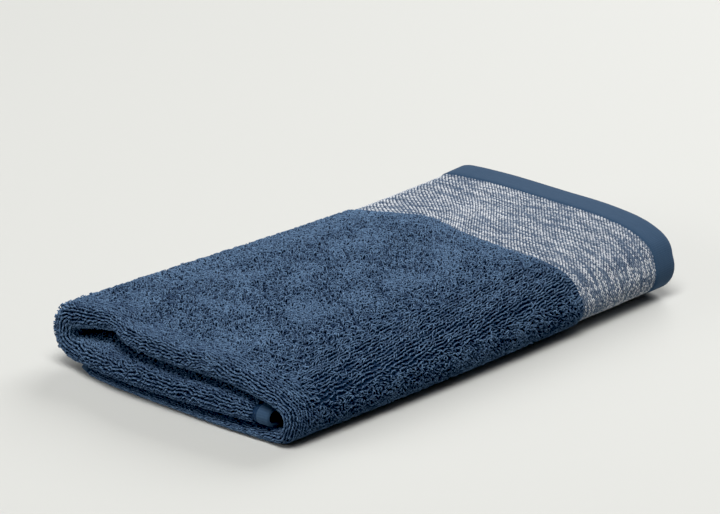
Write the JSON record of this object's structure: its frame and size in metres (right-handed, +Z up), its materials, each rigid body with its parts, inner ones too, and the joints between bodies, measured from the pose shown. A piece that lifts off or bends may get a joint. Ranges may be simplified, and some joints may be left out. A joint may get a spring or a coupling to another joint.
{
  "type": "face towel",
  "caption": "Small terry face towel with a flecked flat-woven band and plain hems, folded in half and then in thirds and lying flat.",
  "frame": {"origin": "on the flat underside, near the middle of the folded towel", "axes": "+X across the folded towel towards its rounded long side, +Y along it from the folded end to the hemmed ends, +Z up from the surface it lies on"},
  "size_m": [0.1207, 0.2103, 0.0289],
  "materials": {
    "terry": "denim blue cotton terry loops, with a white and blue flecked flat-woven band and plain blue hems"
  },
  "bodies": {
    "root": {"towel": "terry"}
  },
  "joints": []
}
